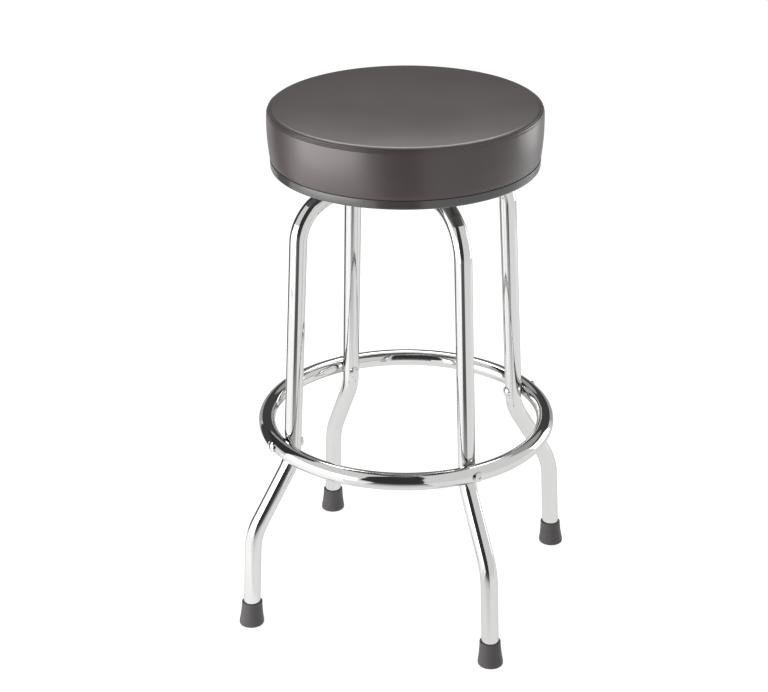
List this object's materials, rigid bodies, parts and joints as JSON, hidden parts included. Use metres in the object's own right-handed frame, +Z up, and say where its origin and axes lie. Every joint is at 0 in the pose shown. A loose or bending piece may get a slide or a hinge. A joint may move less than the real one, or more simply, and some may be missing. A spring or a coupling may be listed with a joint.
{
  "type": "backless swivel stool",
  "caption": "Backless bar-height stool: round padded vinyl seat that swivels on crossed bent chrome tube legs with a round foot ring and rubber tips.",
  "frame": {"origin": "on the floor under the middle of the seat, at the centre of the stool's footprint", "axes": "+Z up along the swivel axis, +X to the right and -Y to the front, legs on the diagonals"},
  "size_m": [0.4148, 0.4148, 0.73],
  "materials": {
    "vinyl": "satin",
    "foam": "matte",
    "plywood": "matte",
    "pan_paint": "satin",
    "staple_wire": "satin",
    "zinc_steel": "satin",
    "bearing_steel": "polished",
    "chrome_tube": "polished",
    "chrome_screw": "polished",
    "foot_rubber": "matte"
  },
  "bodies": {
    "frame": {"swivel_lower_plate": "zinc_steel", "pivot_rivet": "zinc_steel", "pivot_washer": "zinc_steel", "leg_tube_over": "chrome_tube", "leg_tube_under": "chrome_tube", "frame_bolts": "zinc_steel", "frame_washers": "zinc_steel", "frame_nuts": "zinc_steel", "foot_ring": "chrome_tube", "ring_bolts": "chrome_screw", "ring_cap_nuts": "chrome_screw", "foot_front_left": "foot_rubber", "foot_front_right": "foot_rubber", "foot_rear_left": "foot_rubber", "foot_rear_right": "foot_rubber"},
    "seat": {"seat_cover_top": "vinyl", "seat_cover_wall": "vinyl", "seat_foam": "foam", "seat_board": "plywood", "seat_pan": "pan_paint", "cover_staples": "staple_wire", "tee_nuts": "zinc_steel", "seat_bolts": "zinc_steel", "swivel_upper_plate": "zinc_steel"},
    "ball_ring": {"bearing_balls": "bearing_steel", "ball_cage": "zinc_steel"}
  },
  "joints": [
    {"name": "seat_swivel", "type": "hinge", "parent": "frame", "child": "seat", "pos_m": [0, 0, 0.645], "axis": [0, 0, 1], "continuous": true},
    {"name": "ball_ring_roll", "type": "hinge", "parent": "frame", "child": "ball_ring", "pos_m": [0, 0, 0.639], "axis": [0, 0, 1], "continuous": true}
  ],
  "couplings": [
    {"joint": "ball_ring_roll", "follows": "seat_swivel", "ratio": 0.5}
  ]
}
